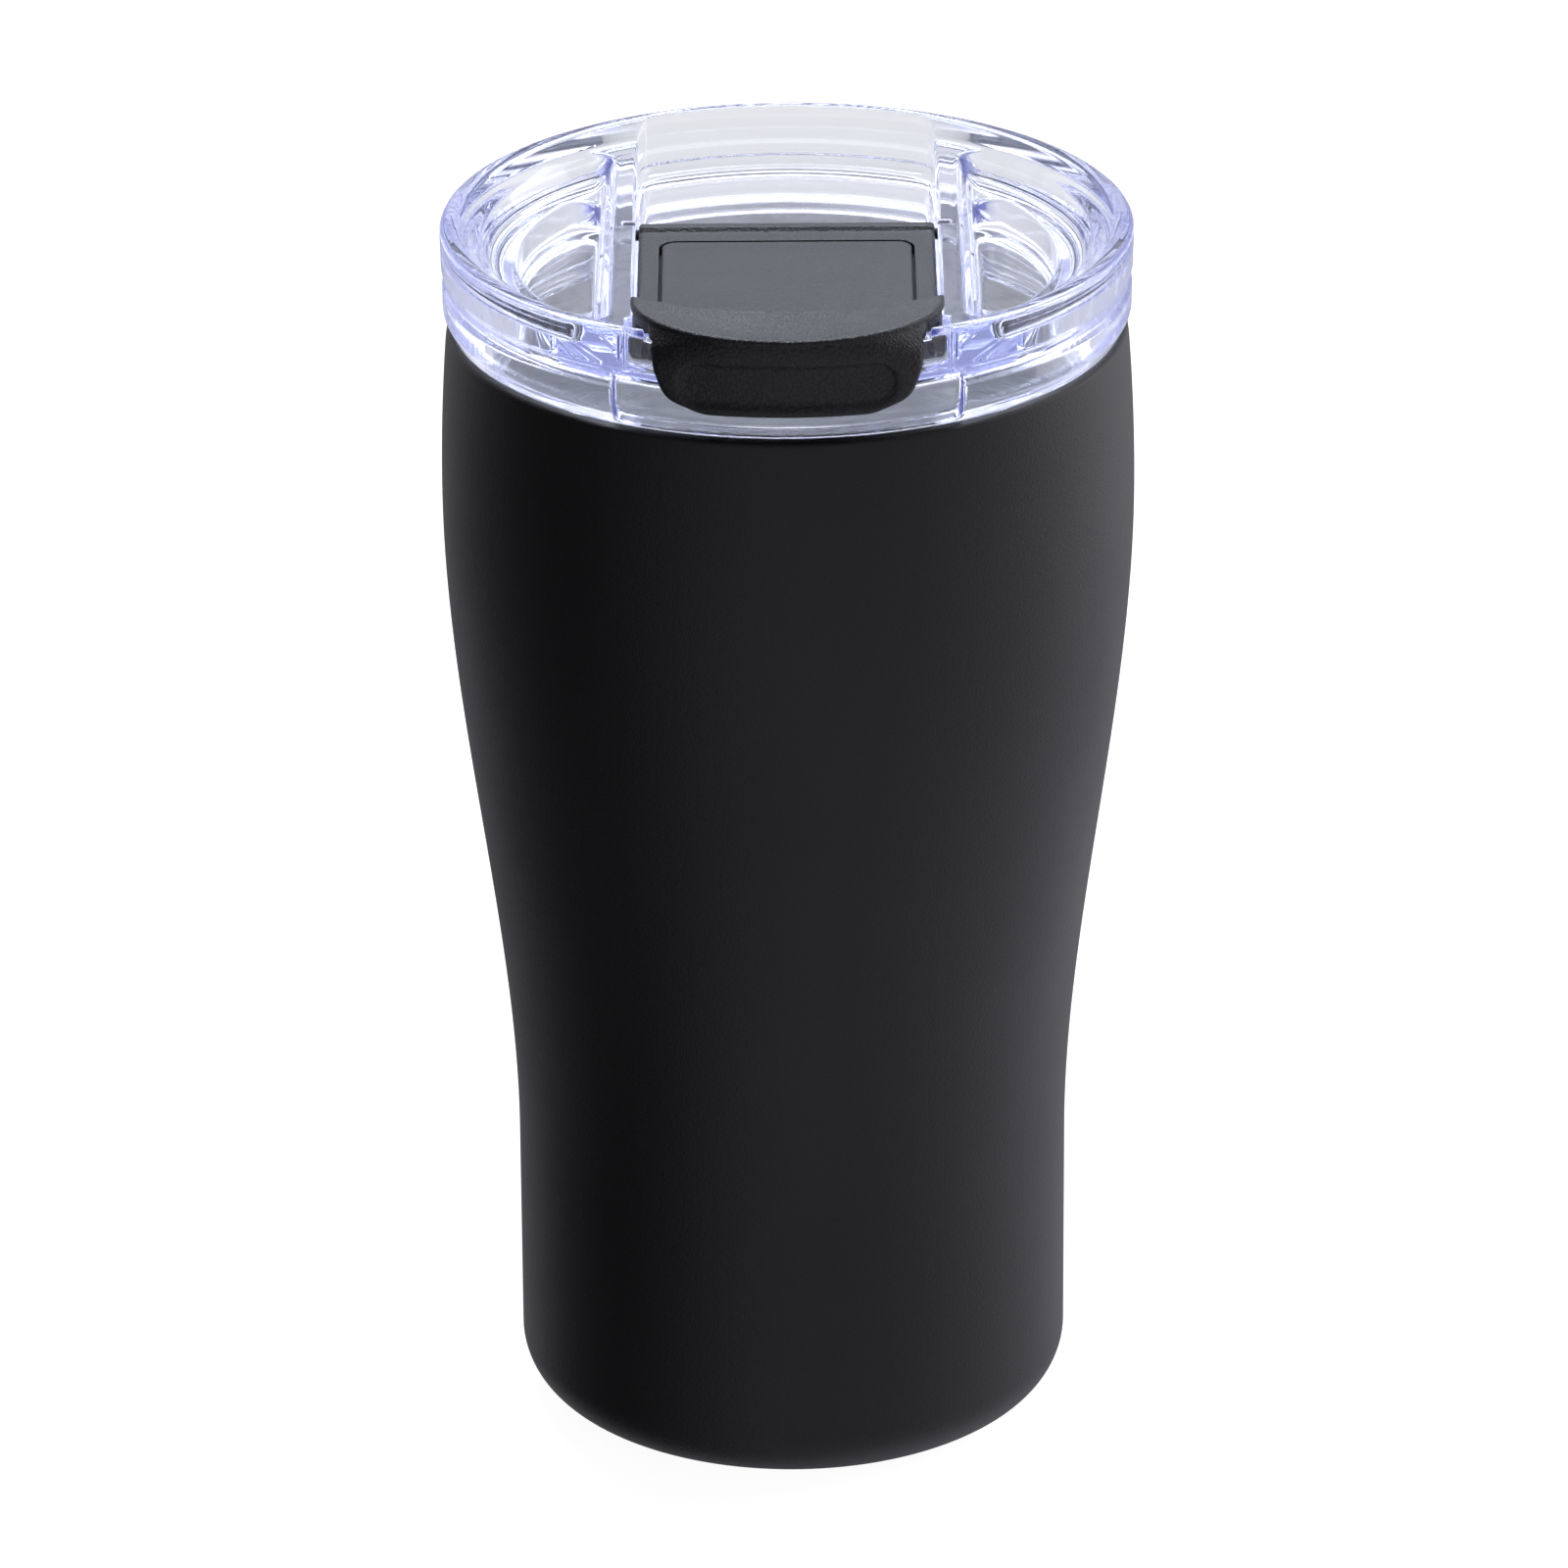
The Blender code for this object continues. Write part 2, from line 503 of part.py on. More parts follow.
def web_outline():
    """Plan of the plate between its straight front edge and the crest's rear arc, which it joins."""
    radius, half = RIDGE_R + OVERLAP, FLAP_HALF - 0.1
    side = math.degrees(math.asin(half / radius))
    rear_y = OVERLAP - chord(RIDGE_R + 0.5, FLAP_HALF)
    return arc(0, 0, radius, 270 - side, 270 + side, 12) + [(half, rear_y), (-half, rear_y)]


def panel_outline(grow):
    """The inset panel of the flap: rounded rear corners and a front edge that follows the crest."""
    half, corner = PANEL_HALF + grow, PANEL_CORNER + grow
    rear, front_r = PANEL_REAR + grow, PANEL_FRONT_R + grow
    side = math.degrees(math.asin(half / front_r))
    front = arc(0, 0, front_r, 270 - side, 270 + side, 10)
    right = arc(half - corner, rear - corner, corner, 0, 90, 4)
    left = arc(-half + corner, rear - corner, corner, 90, 180, 4)
    return front + right + left


def thumb_recess():
    """A shallow slot in the tab's face, as deep all over because it follows the face's arc."""
    middle_z = (THUMB_LOW + THUMB_HIGH) / 2
    radius = (THUMB_HIGH - THUMB_LOW) / 2
    floor_r, clear_r = TAB_OUT - THUMB_DEPTH, TAB_OUT + OVER
    loops = []
    for i in range(15):
        x = -THUMB_HALF * math.cos(math.pi * i / 14)
        past = max(0.0, abs(x) - (THUMB_HALF - radius))
        half = max(0.3, math.sqrt(max(0.0, radius ** 2 - past ** 2)))
        back, front = -chord(floor_r, x), -chord(clear_r, x)
        loops.append([(x, back, middle_z - half), (x, back, middle_z + half),
                      (x, front, middle_z + half + THUMB_FLARE), (x, front, middle_z - half - THUMB_FLARE)])
    return loft("thumb_recess", loops)


def build_flap():
    black = material("black_abs", (0.022, 0.023, 0.024), 0.5)
    panel_black = material("black_panel", (0.026, 0.027, 0.028), 0.52)
    silicone = material("black_silicone", (0.03, 0.03, 0.032), 0.65)
    flap = loft("flap_body", plate_loops(), black)
    join(flap,
         prism("web", web_outline(), PLATE_UNDER + 0.05, PLATE_TOP - 0.05),
         loft("crest", crest_loops()),
         loft("tab", tab_loops()),
         rod("trunnions", TRUNNION_R, (GAP - SOCKET_END, HINGE_Y, HINGE_Z),
             (SOCKET_END - GAP, HINGE_Y, HINGE_Z)))
    cut(flap, prism("panel_seat", panel_outline(GAP), PANEL_UNDER - GAP, CREST_TOP + OVER))
    panel = prism("flap_panel", panel_outline(0.0), PANEL_UNDER, PLATE_TOP, panel_black)
    seal_top = PLATE_UNDER - GAP
    flange_low, plug_low = CHANNEL_Z + GAP, UNDER_Z + GAP
    seal = prism("flap_seal", stadium(SPOUT_Y, SPOUT_HALF + SEAL_FLANGE, SPOUT_DEPTH + SEAL_FLANGE),
                 flange_low, seal_top, silicone)
    join(seal, prism("seal_plug", stadium(SPOUT_Y, SPOUT_HALF - GAP, SPOUT_DEPTH - GAP), plug_low,
                     flange_low + 0.4))
    for side, label in ((-1, "left"), (1, "right")):
        at = (side * STEM_X, SPOUT_Y)
        join(panel, rod("stem_" + label, STEM_R, (*at, STEM_LOW), (*at, PANEL_UNDER + 0.2), None, 16))
        cut(flap, rod("stem_hole_" + label, STEM_R + GAP, (*at, PLATE_UNDER - OVER), (*at, PLATE_TOP),
                      None, 16))
        cut(seal, rod("seal_hole_" + label, STEM_R + GAP, (*at, STEM_LOW - GAP), (*at, seal_top + OVER),
                      None, 16))
    cut(flap, thumb_recess())


def main():
    for leftover in list(bpy.data.objects):
        bpy.data.objects.remove(leftover, do_unlink=True)
    build_vessel()
    build_lid()
    build_flap()


main()
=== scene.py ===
"""Looks of the insulated travel mug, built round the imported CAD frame.

Lengths are written in millimetres in the row frame (+Z up, the drinking side faces -Y) and are
scaled once, by MM. The moulded pieces are drawn as distance fields, negative inside the plastic,
so that their corners are rounded as a mould leaves them; the metal and the gasket are turned.
"""

import math

import bmesh
import bpy
import numpy as np
from mathutils import Euler, Matrix, Vector


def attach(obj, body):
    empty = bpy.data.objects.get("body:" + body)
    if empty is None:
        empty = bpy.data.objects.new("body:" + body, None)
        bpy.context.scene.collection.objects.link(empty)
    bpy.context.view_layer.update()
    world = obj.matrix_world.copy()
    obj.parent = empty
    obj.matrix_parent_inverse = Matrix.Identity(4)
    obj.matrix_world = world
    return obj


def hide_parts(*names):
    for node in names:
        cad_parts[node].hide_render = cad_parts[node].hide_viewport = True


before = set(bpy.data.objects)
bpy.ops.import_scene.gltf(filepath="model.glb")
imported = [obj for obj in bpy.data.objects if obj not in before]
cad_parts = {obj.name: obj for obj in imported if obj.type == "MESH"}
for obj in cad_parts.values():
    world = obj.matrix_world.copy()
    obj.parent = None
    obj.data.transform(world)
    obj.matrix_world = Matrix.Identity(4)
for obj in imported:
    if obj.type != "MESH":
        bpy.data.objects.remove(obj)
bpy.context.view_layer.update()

MM = 0.001

# Vessel
BASE_R, BODY_R, LIP_R = 36.0, 44.5, 43.5
BASE_FILLET = 7.5
STRAIGHT_TOP, WIDEST_Z, LIP_Z = 36.0, 127.0, 149.85
SHEET, WALL, MOUTH_R = 0.8, 3.9, 41.0
SEAT_R = 32.4              # where the shell's bottom edge meets the base cap
SEAM = 0.3                 # width of that seam
BASE_RING_Z = 20.0         # first ring of the straight lower part above its fillet
LIP_ROLL, LIP_START = 0.75, 147.5          # rounding of the steel lip, and the height it begins at
LIP_RINGS = 4              # rings of the inside that give way to the thicker lip
LIP_GAP = 0.1              # between the shell's lip and the liner's
LINER_FLOOR_Z, LINER_CORNER, LINER_TOP = 8.7, 8.0, 146.0
MOUTH_LOW, MOUTH_HIGH = 128.0, 140.0       # the liner eases out to the straight mouth between these
REST_R, REST_RECESS = 24.0, 0.8            # the ring that the mug stands on, and the hollow inside it

# Lid
LID_R, LID_TOP = 44.2, 163.2
FLANGE_Z, DECK_Z, UNDER_Z = 150.2, 158.3, 154.6
CHANNEL_Z, CHANNEL_HALF = 156.4, 19.25
WALL_OUT, WALL_TOP = 22.2, 161.3
LEDGE_R = 39.2             # edge of the ledge that the rim slopes down to
DRAFT = 0.5                # how far the recesses' sides lean in for each mm of depth
FLOOR_R = 37.2
PLUG_R, PLUG_END = 40.1, 143.5
GROOVE_LOW, GROOVE_HIGH, GROOVE_R = 145.8, 148.6, 38.9
POCKET_X, POCKET_R, POCKET_Z, POCKET_SHEET = 24.0, 34.4, 153.2, 1.6
TUB_CORNER, POCKET_CORNER, SIDE_CORNER = 4.0, 2.6, 2.4   # rounding of the D shapes' tips
POCKET_LIP, POCKET_LIP_HALF = 0.48, 24.0   # half width and half length of the ridge beside a pocket
WAIST_R, WAIST_LOW, WAIST_HIGH = 43.55, 155.85, 157.35   # line round the outside of the rim
CHANNEL_REAR_R = FLOOR_R + 1.6             # foot of the channel's leaning rear wall
RECESS_R, RECESS_HALF, RECESS_Z = 42.8, 20.3, 157.2      # recess in the rim behind the flap's tab
STEP_R, STEP_HALF, STEP_Z, STEP_TOP = 40.4, 21.7, 150.9, 157.5   # deeper one under it, with a thin floor
VENT_Y, VENT_R = -12.0, 1.0
SLIT = 0.45                # clearance round the crest where it lies in the rim
NECK_Y = -30.0             # the slit narrows to the tab's width forward of this

# Flap
HINGE_Y, HINGE_Z = 5.6, 159.0
BARREL_R, TRUNNION_R, SOCKET_R, SOCKET_END = 1.6, 0.7, 0.8, 21.2
GAP = 0.35                 # clearance between neighbouring pieces
RIDGE_TOP = 160.45         # the barrel stands a little proud of the plate
FLAP_HALF, PLATE_TOP, PLATE_UNDER = 18.9, 160.0, 158.0
RIDGE_R, CREST_HALF, CREST_MID_Y, CREST_REACH = 36.0, 19.6, -30.4, 14.8
CREST_TOP, CREST_DROP, CREST_HOLLOW = 164.6, 0.6, 0.32
CREST_LOW, BODY_TOP = 163.35, 163.9        # underside of the crest's cap, and top of what carries it
ROOF_Z, ROOF_SLOPE = 163.6, 1.1            # the tab's top, and its fall for each mm past the crest
ROOF_LEAN = 0.67           # about the cosine of that slope, which turns the height into a distance
FRONT_SIDE = -20.0         # the crest and the tab lie forward of this
BRIDGE_UNDER, INBOARD_R = 162.1, 38.7
TAB_HALF, TAB_IN, TAB_OUT, TAB_END = 17.3, 43.2, 45.2, 153.8
THUMB_HALF, THUMB_LOW, THUMB_HIGH, THUMB_DEPTH = 13.6, 154.9, 160.6, 0.7
PANEL_HALF, PANEL_REAR, PANEL_FRONT_R, PANEL_UNDER = 15.9, 0.6, 35.6, 158.95
PANEL_CORNER = 2.0
SPOUT_Y, SPOUT_HALF, SPOUT_DEPTH = -29.5, 11.0, 4.2
SEAL_FLANGE = 1.6          # how far the seal's flange spreads past the drinking hole
SEAL_LOW, SEAL_MID, SEAL_TOP = 154.95, 156.7, 157.65     # its bottom, and its flange's underside and top
STEM_X, STEM_R, STEM_LOW = 6.0, 1.8, 155.75
OVER = 2.0                 # how far a cutter runs past the plastic

# Detail of the drawn surfaces
LID_STEP, FLAP_STEP = 0.36, 0.26           # grid of the moulded pieces
PULL = 0.08                # how strongly a vertex is held to the middle of its cell's crossings
REACH = 0.8                # how far it may leave them, in cells
TURNED_SEGMENTS = 224
TINY = 1e-9                # keeps a division from meeting zero


# ---------------------------------------------------------------- distance fields

def both(a, b, k=0.0):
    """Intersection of two fields; k rounds the edge between them."""
    if k == 0.0:
        return np.maximum(a, b)
    near = np.maximum(k - np.abs(a - b), 0.0) / k
    return np.maximum(a, b) + near * near * k / 4.0


def either(a, b, k=0.0):
    """Union of two fields; k is the width of the fillet between them."""
    return -both(-a, -b, k)


def less(a, b, k=0.0):
    """a with b cut out of it; k rounds the edge of the cut."""
    return both(a, -b, k)


def slab(v, low, high):
    return np.maximum(low - v, v - high)


def rounded(corners, steps=6):
    """A closed outline from corners (u, v, fillet), each filleted corner drawn as an arc."""
    outline = []
    count = len(corners)
    for i, (u, v, fillet) in enumerate(corners):
        here = Vector((u, v))
        if fillet == 0.0:
            outline.append((u, v))
            continue
        back = (Vector(corners[i - 1][:2]) - here).normalized()
        ahead = (Vector(corners[(i + 1) % count][:2]) - here).normalized()
        half = back.angle(ahead) / 2.0
        centre = here + (back + ahead).normalized() * (fillet / math.sin(half))
        first = here + back * (fillet / math.tan(half)) - centre
        last = here + ahead * (fillet / math.tan(half)) - centre
        turn = first.angle_signed(last)
        for j in range(steps + 1):
            angle = -turn * j / steps
            outline.append((centre.x + first.x * math.cos(angle) - first.y * math.sin(angle),
                            centre.y + first.x * math.sin(angle) + first.y * math.cos(angle)))
    return outline


class Section:
    """Signed distance to a closed outline, kept as a fine table and read between its entries."""

    def __init__(self, outline, step=0.1, margin=3.0):
        points = np.array(outline)
        self.step = step
        self.low = points.min(0) - margin
        counts = np.ceil((points.max(0) + margin - self.low) / step).astype(int) + 2
        u = self.low[0] + step * np.arange(counts[0])[:, None]
        v = self.low[1] + step * np.arange(counts[1])[None, :]
        nearest = np.full((counts[0], counts[1]), np.inf)
        inside = np.zeros((counts[0], counts[1]), bool)
        for (au, av), (bu, bv) in zip(points, np.roll(points, -1, axis=0)):
            eu, ev = bu - au, bv - av
            along = np.clip(((u - au) * eu + (v - av) * ev) / (eu * eu + ev * ev + 1e-12), 0.0, 1.0)
            nearest = np.minimum(nearest, (u - au - along * eu) ** 2 + (v - av - along * ev) ** 2)
            if av != bv:
                inside ^= ((v < av) != (v < bv)) & (u < au + (v - av) * eu / ev)
        self.table = np.where(inside, -1.0, 1.0) * np.sqrt(nearest)

    def __call__(self, u, v):
        i = np.clip((u - self.low[0]) / self.step, 0.0, self.table.shape[0] - 1.001)
        j = np.clip((v - self.low[1]) / self.step, 0.0, self.table.shape[1] - 1.001)
        i0, j0 = i.astype(int), j.astype(int)
        fi, fj = i - i0, j - j0
        low = self.table[i0, j0] * (1.0 - fj) + self.table[i0, j0 + 1] * fj
        high = self.table[i0 + 1, j0] * (1.0 - fj) + self.table[i0 + 1, j0 + 1] * fj
        return low * (1.0 - fi) + high * fi


def contour(distance, low, high, step):
    """Vertices and quads of the surface distance = 0, one vertex in each cell it crosses, set
    where the planes through the cell's crossings meet, so that edges stay crisp."""
    low = np.array(low)
    axes = [np.arange(a, b + step, step) for a, b in zip(low, high)]
    shape = tuple(len(a) for a in axes)
    grid = distance(axes[0][:, None, None], axes[1][None, :, None], axes[2][None, None, :])
    grid = np.broadcast_to(grid, shape)
    places, rings = [], []
    for axis in range(3):
        near = [slice(None)] * 3
        far = [slice(None)] * 3
        near[axis], far[axis] = slice(None, -1), slice(1, None)
        start, end = grid[tuple(near)], grid[tuple(far)]
        index = np.argwhere((start < 0.0) != (end < 0.0))
        a, b = start[tuple(index.T)], end[tuple(index.T)]
        place = index.astype(float)
        place[:, axis] += a / (a - b)
        places.append(low + place * step)
        ring = []
        for one, two in ((0, 0), (1, 0), (1, 1), (0, 1)):
            cell = index.copy()
            cell[:, (axis + 1) % 3] -= one
            cell[:, (axis + 2) % 3] -= two
            ring.append(np.ravel_multi_index(cell.T, shape))
        ring = np.stack(ring, 1)
        ring[a > 0.0] = ring[a > 0.0][:, ::-1]
        rings.append(ring)
    places = np.concatenate(places)
    rings = np.concatenate(rings)
    used, quads = np.unique(rings, return_inverse=True)
    quads = quads.reshape(-1, 4)
    normals = slopes(distance, places)
    owner, source = quads.ravel(), np.repeat(np.arange(len(places)), 4)

    def gathered(values):
        return np.bincount(owner, values[source], len(used))

    count = gathered(np.ones(len(places)))
    middle = np.stack([gathered(places[:, c]) / count for c in range(3)], 1)
    heights = (normals * places).sum(1)
    square = np.empty((len(used), 3, 3))
    pull = np.empty((len(used), 3))
    for c in range(3):
        for d in range(3):
            square[:, c, d] = gathered(normals[:, c] * normals[:, d])
        pull[:, c] = gathered(normals[:, c] * heights)
    pull -= np.einsum("nij,nj->ni", square, middle)
    square += (PULL * count)[:, None, None] * np.eye(3)
    shift = np.linalg.solve(square, pull[:, :, None])[:, :, 0]
    reach = np.linalg.norm(shift, axis=1, keepdims=True)
    shift *= np.minimum(1.0, REACH * step / np.maximum(reach, TINY))
    return middle + shift, quads


def slopes(distance, places, reach=0.02):
    """Unit normals of the field at these places."""
    found = np.empty_like(places)
    for c in range(3):
        ahead, behind = places.copy(), places.copy()
        ahead[:, c] += reach
        behind[:, c] -= reach
        found[:, c] = distance(*ahead.T) - distance(*behind.T)
    return found / np.maximum(np.linalg.norm(found, axis=1, keepdims=True), TINY)


# ---------------------------------------------------------------- objects

def add_piece(name, mesh, finish, body, slot, *nodes, sharp=None):
    """Links a mesh as a piece that rides on a CAD body and stands for CAD nodes."""
    mesh.materials.append(finish)
    mesh.shade_smooth()
    if sharp:
        mesh.set_sharp_from_angle(angle=math.radians(sharp))
    piece = bpy.data.objects.new(name, mesh)
    bpy.context.scene.collection.objects.link(piece)
    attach(piece, body)
    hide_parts(*nodes)
    return piece


def moulded(name, distance, low, high, step):
    """A mesh in metres of a distance field in millimetres."""
    vertices, quads = contour(distance, low, high, step)
    mesh = bpy.data.meshes.new(name)
    mesh.vertices.add(len(vertices))
    mesh.vertices.foreach_set("co", (vertices * MM).astype(np.float32).ravel())
    mesh.loops.add(quads.size)
    mesh.loops.foreach_set("vertex_index", quads.astype(np.int32).ravel())
    mesh.polygons.add(len(quads))
    mesh.polygons.foreach_set("loop_start", np.arange(0, quads.size, 4, dtype=np.int32))
    mesh.update(calc_edges=True)
    mesh.validate()
    return mesh


def turned(name, outline):
    """A mesh in metres of an outline of (radius, z), turned about Z."""
    bm = bmesh.new()
    points = [bm.verts.new((radius * MM, 0.0, z * MM)) for radius, z in outline]
    for first, second in zip(points, points[1:]):
        bm.edges.new((first, second))
    if outline[0][0] > 0.0 or outline[-1][0] > 0.0:
        bm.edges.new((points[-1], points[0]))
    bmesh.ops.spin(bm, geom=bm.verts[:] + bm.edges[:], axis=(0, 0, 1), cent=(0, 0, 0),
                   steps=TURNED_SEGMENTS, angle=math.tau, use_merge=True)
    bmesh.ops.remove_doubles(bm, verts=bm.verts, dist=1e-7)
    bmesh.ops.recalc_face_normals(bm, faces=bm.faces)
    if bm.calc_volume(signed=True) < 0.0:
        bmesh.ops.reverse_faces(bm, faces=bm.faces)
    mesh = bpy.data.meshes.new(name)
    bm.to_mesh(mesh)
    bm.free()
    return mesh


# ---------------------------------------------------------------- materials

class Finish:
    """A Principled material with short ways to add its nodes."""

    def __init__(self, name, **inputs):
        self.material = bpy.data.materials.new(name)
        self.material.use_nodes = True
        self.nodes = self.material.node_tree.nodes
        self.shader = self.nodes["Principled BSDF"]
        for socket, value in inputs.items():
            self.shader.inputs[socket.replace("_", " ")].default_value = value

    def node(self, kind, **settings):
        made = self.nodes.new("ShaderNode" + kind)
        for key, value in settings.items():
            if hasattr(made, key):
                setattr(made, key, value)
            else:
                made.inputs[key.replace("_", " ")].default_value = value
        return made

    def wire(self, source, target):
        self.material.node_tree.links.new(source, target)

    def place(self, scale=(1.0, 1.0, 1.0)):
        """The point on the object, in metres, stretched by scale."""
        where = self.node("TexCoord")
        mapping = self.node("Mapping", Scale=scale)
        self.wire(where.outputs["Object"], mapping.inputs["Vector"])
        return mapping.outputs["Vector"]

    def noise(self, where, scale, detail=2.0, roughness=0.5):
        made = self.node("TexNoise", Scale=scale, Detail=detail, Roughness=roughness)
        self.wire(where, made.inputs["Vector"])
        return made.outputs["Fac"]

    def between(self, value, low, high, start=0.0, end=1.0):
        """value carried from the range start..end to low..high."""
        made = self.node("MapRange")
        for socket, number in (("From Min", start), ("From Max", end), ("To Min", low), ("To Max", high)):
            made.inputs[socket].default_value = number
        self.wire(value, made.inputs["Value"])
        return made.outputs["Result"]

    def maths(self, operation, one, two):
        made = self.node("Math", operation=operation)
        for socket, value in zip(made.inputs, (one, two)):
            if isinstance(value, (int, float)):
                socket.default_value = value
            else:
                self.wire(value, socket)
        return made.outputs["Value"]

    def colours(self, value, *stops):
        """A ramp of (position, colour) read at value, into the base colour."""
        made = self.node("ValToRGB")
        ramp = made.color_ramp
        while len(ramp.elements) < len(stops):
            ramp.elements.new(0.5)
        for element, (position, colour) in zip(ramp.elements, stops):
            element.position = position
            element.color = (*colour, 1.0)
        self.wire(value, made.inputs["Fac"])
        self.wire(made.outputs["Color"], self.shader.inputs["Base Color"])

    def rough(self, value, low, high, start=0.3, end=0.7):
        self.wire(self.between(value, low, high, start, end), self.shader.inputs["Roughness"])

    def bump(self, height, depth, strength=1.0):
        """Bump of this depth in metres."""
        made = self.node("Bump", Strength=strength, Distance=depth)
        self.wire(height, made.inputs["Height"])
        self.wire(made.outputs["Normal"], self.shader.inputs["Normal"])


def powder_coat(name, tone=1.0):
    """Black powder coat: an orange-peel swell under a fine dry grain, a little polished by handling."""
    made = Finish(name, IOR=1.5, Specular_IOR_Level=0.5)
    where = made.place()
    grain = made.noise(where, 3300.0, 3.0, 0.6)
    peel = made.noise(where, 1500.0, 1.0, 0.4)
    handling = made.noise(where, 22.0, 3.0, 0.55)
    dark, light = 0.0042 * tone, 0.0085 * tone
    made.colours(grain, (0.35, (dark, dark, dark * 1.04)), (0.68, (light, light, light * 1.04)))
    made.rough(handling, 0.47, 0.56)
    height = made.maths("ADD", made.maths("MULTIPLY", grain, 0.8), made.maths("MULTIPLY", peel, 0.25))
    made.bump(height, 0.00007)
    return made.material


def moulded_black(name, tone, grain_scale=2900.0):
    """Spark-textured black moulding: a tight grain in the bump and roughness, with pale specks painted into
    the base colour as glints.
    """
    made = Finish(name, IOR=1.5)
    where = made.place()
    # this noise is the real grain for the bump and roughness, and also the pattern of the painted glints in
    # the colour
    grain_and_glints = made.noise(where, grain_scale, 2.0, 0.6)
    flow = made.noise(where, 60.0, 2.0, 0.5)
    low = tuple(c * 0.35 for c in tone)
    # the pale end, over twice the tone, is painted glints where the grain would catch the light; the dark end
    # is the moulding's own grain
    high = tuple(c * 2.2 for c in tone)
    made.colours(grain_and_glints, (0.42, low), (0.64, high))
    made.rough(made.maths("ADD", grain_and_glints, made.maths("MULTIPLY", flow, 0.4)), 0.36, 0.54, 0.45, 0.95)
    made.bump(grain_and_glints, 0.00016)
    return made.material


def clear_plastic(name):
    """Clear copolyester: lavender where the light travels far inside it, with faint handling scuffs."""
    made = Finish(name, IOR=1.53, Transmission_Weight=1.0, Roughness=0.0)
    made.shader.inputs["Base Color"].default_value = (0.99, 0.992, 1.0, 1.0)
    depth = made.node("VolumeAbsorption", Color=(0.67, 0.70, 0.91, 1.0), Density=36.0)
    made.wire(depth.outputs["Volume"], made.nodes["Material Output"].inputs["Volume"])
    scuff = made.noise(made.place(), 420.0, 4.0, 0.7)
    made.rough(scuff, 0.0, 0.02, 0.5, 0.85)
    made.bump(scuff, 0.000004, 0.3)
    return made.material


def silicone(name, colour, clear, roughness):
    """Soft silicone with a dusty bloom."""
    made = Finish(name, IOR=1.41, Transmission_Weight=clear)
    where = made.place()
    bloom = made.noise(where, 700.0, 3.0, 0.6)
    made.colours(bloom, (0.3, tuple(c * 0.9 for c in colour)), (0.7, colour))
    made.rough(bloom, roughness - 0.06, roughness + 0.06)
    made.bump(bloom, 0.00002)
    return made.material


def brushed_steel(name, tone, fine=1.0):
    """Steel brushed round its axis: hair lines that run level, and slow stains."""
    made = Finish(name, Metallic=1.0)
    level = made.place((16.0, 16.0, 5200.0 * fine))
    hair = made.noise(level, 1.0, 4.0, 0.65)
    stain = made.noise(made.place(), 30.0, 3.0, 0.5)
    made.colours(stain, (0.3, tuple(c * 0.9 for c in tone)), (0.7, tone))
    made.rough(hair, 0.2, 0.42)
    made.bump(hair, 0.000012)
    return made.material


def sintered(name, tone):
    """Rough pressed or fused stuff, for the hidden getter and the port's seal."""
    made = Finish(name, Metallic=0.6)
    where = made.place()
    pits = made.noise(where, 1500.0, 4.0, 0.7)
    made.colours(pits, (0.35, tuple(c * 0.5 for c in tone)), (0.65, tone))
    made.rough(pits, 0.5, 0.8)
    made.bump(pits, 0.00008)
    return made.material


# ---------------------------------------------------------------- vessel

def ease(t):
    t = min(max(t, 0.0), 1.0)
    return t * t * (3.0 - 2.0 * t)


def arc(centre_r, centre_z, radius, start, end, steps):
    angles = [math.radians(start + (end - start) * i / steps) for i in range(steps + 1)]
    return [(centre_r + radius * math.cos(a), centre_z + radius * math.sin(a)) for a in angles]


def body_radius(z):
    """Outer radius of the vessel: straight for the cup holder, then a long swell to the shoulder."""
    if z <= WIDEST_Z:
        return BASE_R + (BODY_R - BASE_R) * ease((z - STRAIGHT_TOP) / (WIDEST_Z - STRAIGHT_TOP))
    fall = (z - WIDEST_Z) / (LIP_Z - WIDEST_Z)
    return BODY_R - (BODY_R - LIP_R) * fall * fall


def liner_radius(z):
    mouth = ease((z - MOUTH_LOW) / (MOUTH_HIGH - MOUTH_LOW))
    return (body_radius(z) - WALL) * (1.0 - mouth) + MOUTH_R * mouth


def shell_outline():
    middle_r, middle_z = BASE_R - BASE_FILLET, BASE_FILLET
    edge = math.degrees(math.asin((SEAT_R - middle_r) / BASE_FILLET)) - 90.0
    heights = list(np.linspace(STRAIGHT_TOP, LIP_START, 70))
    outside = arc(middle_r, middle_z, BASE_FILLET, edge, 0, 16) + [(BASE_R, BASE_RING_Z)]
    outside += [(body_radius(z), z) for z in heights]
    rolled = arc(LIP_R - LIP_ROLL, LIP_Z - LIP_ROLL, LIP_ROLL, 0, 90, 6)
    inner = MOUTH_R + SHEET + LIP_GAP
    inside = [(inner, LIP_Z), (inner, LIP_START)]
    inside += [(body_radius(z) - SHEET, z) for z in reversed(heights[:-LIP_RINGS])]
    inside += [(BASE_R - SHEET, BASE_RING_Z)]
    inside += arc(middle_r, middle_z, BASE_FILLET - SHEET, 0, edge, 16)
    return outside + rolled + inside


